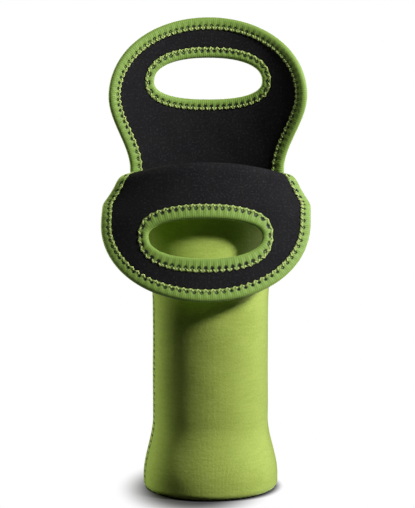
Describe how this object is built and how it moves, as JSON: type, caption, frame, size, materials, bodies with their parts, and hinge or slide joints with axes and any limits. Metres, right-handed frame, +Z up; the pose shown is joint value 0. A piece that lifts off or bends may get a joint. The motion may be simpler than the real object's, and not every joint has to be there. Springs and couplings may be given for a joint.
{
  "type": "bottle carrier",
  "caption": "Padded foam-cloth carrier for one bottle: a round sleeve with a belled foot and bound handle flaps with hand holes, the front flap folded down.",
  "frame": {"origin": "centre of the base, on the surface that the carrier stands on", "axes": "+Z up along the sleeve, -Y towards the front where the flap hangs, +X to the right as seen from the front"},
  "size_m": [0.1654, 0.1183, 0.3772],
  "materials": {
    "green_jersey": "matte",
    "black_jersey": "matte",
    "binding": "matte",
    "thread": "satin"
  },
  "bodies": {
    "sleeve": {"front_sleeve_shell": "green_jersey", "back_sleeve_shell": "green_jersey", "front_sleeve_lining": "black_jersey", "back_sleeve_lining": "black_jersey", "front_fold_shell": "green_jersey", "front_fold_lining": "black_jersey", "front_fold_binding": "binding", "base_shell": "green_jersey", "base_lining": "black_jersey", "left_seam_stitching": "thread", "right_seam_stitching": "thread", "base_seam_stitching": "thread"},
    "front_flap": {"front_flap_shell": "green_jersey", "front_flap_lining": "black_jersey", "front_flap_binding": "binding", "front_grip_binding": "binding", "front_flap_stitching": "thread", "front_grip_stitching": "thread"},
    "back_flap": {"back_flap_shell": "green_jersey", "back_flap_lining": "black_jersey", "back_flap_binding": "binding", "back_grip_binding": "binding", "back_flap_stitching": "thread", "back_grip_stitching": "thread"}
  },
  "joints": [
    {"name": "front_flap_fold", "type": "hinge", "parent": "sleeve", "child": "front_flap", "pos_m": [0, -0.019, 0.26], "axis": [-1, 0, 0], "range_deg": [0, 165], "deforming": ["front_fold_shell", "front_fold_lining", "front_fold_binding"]},
    {"name": "back_flap_fold", "type": "hinge", "parent": "sleeve", "child": "back_flap", "pos_m": [0, 0.018, 0.254], "axis": [-1, 0, 0], "range_deg": [-5, 140]}
  ]
}
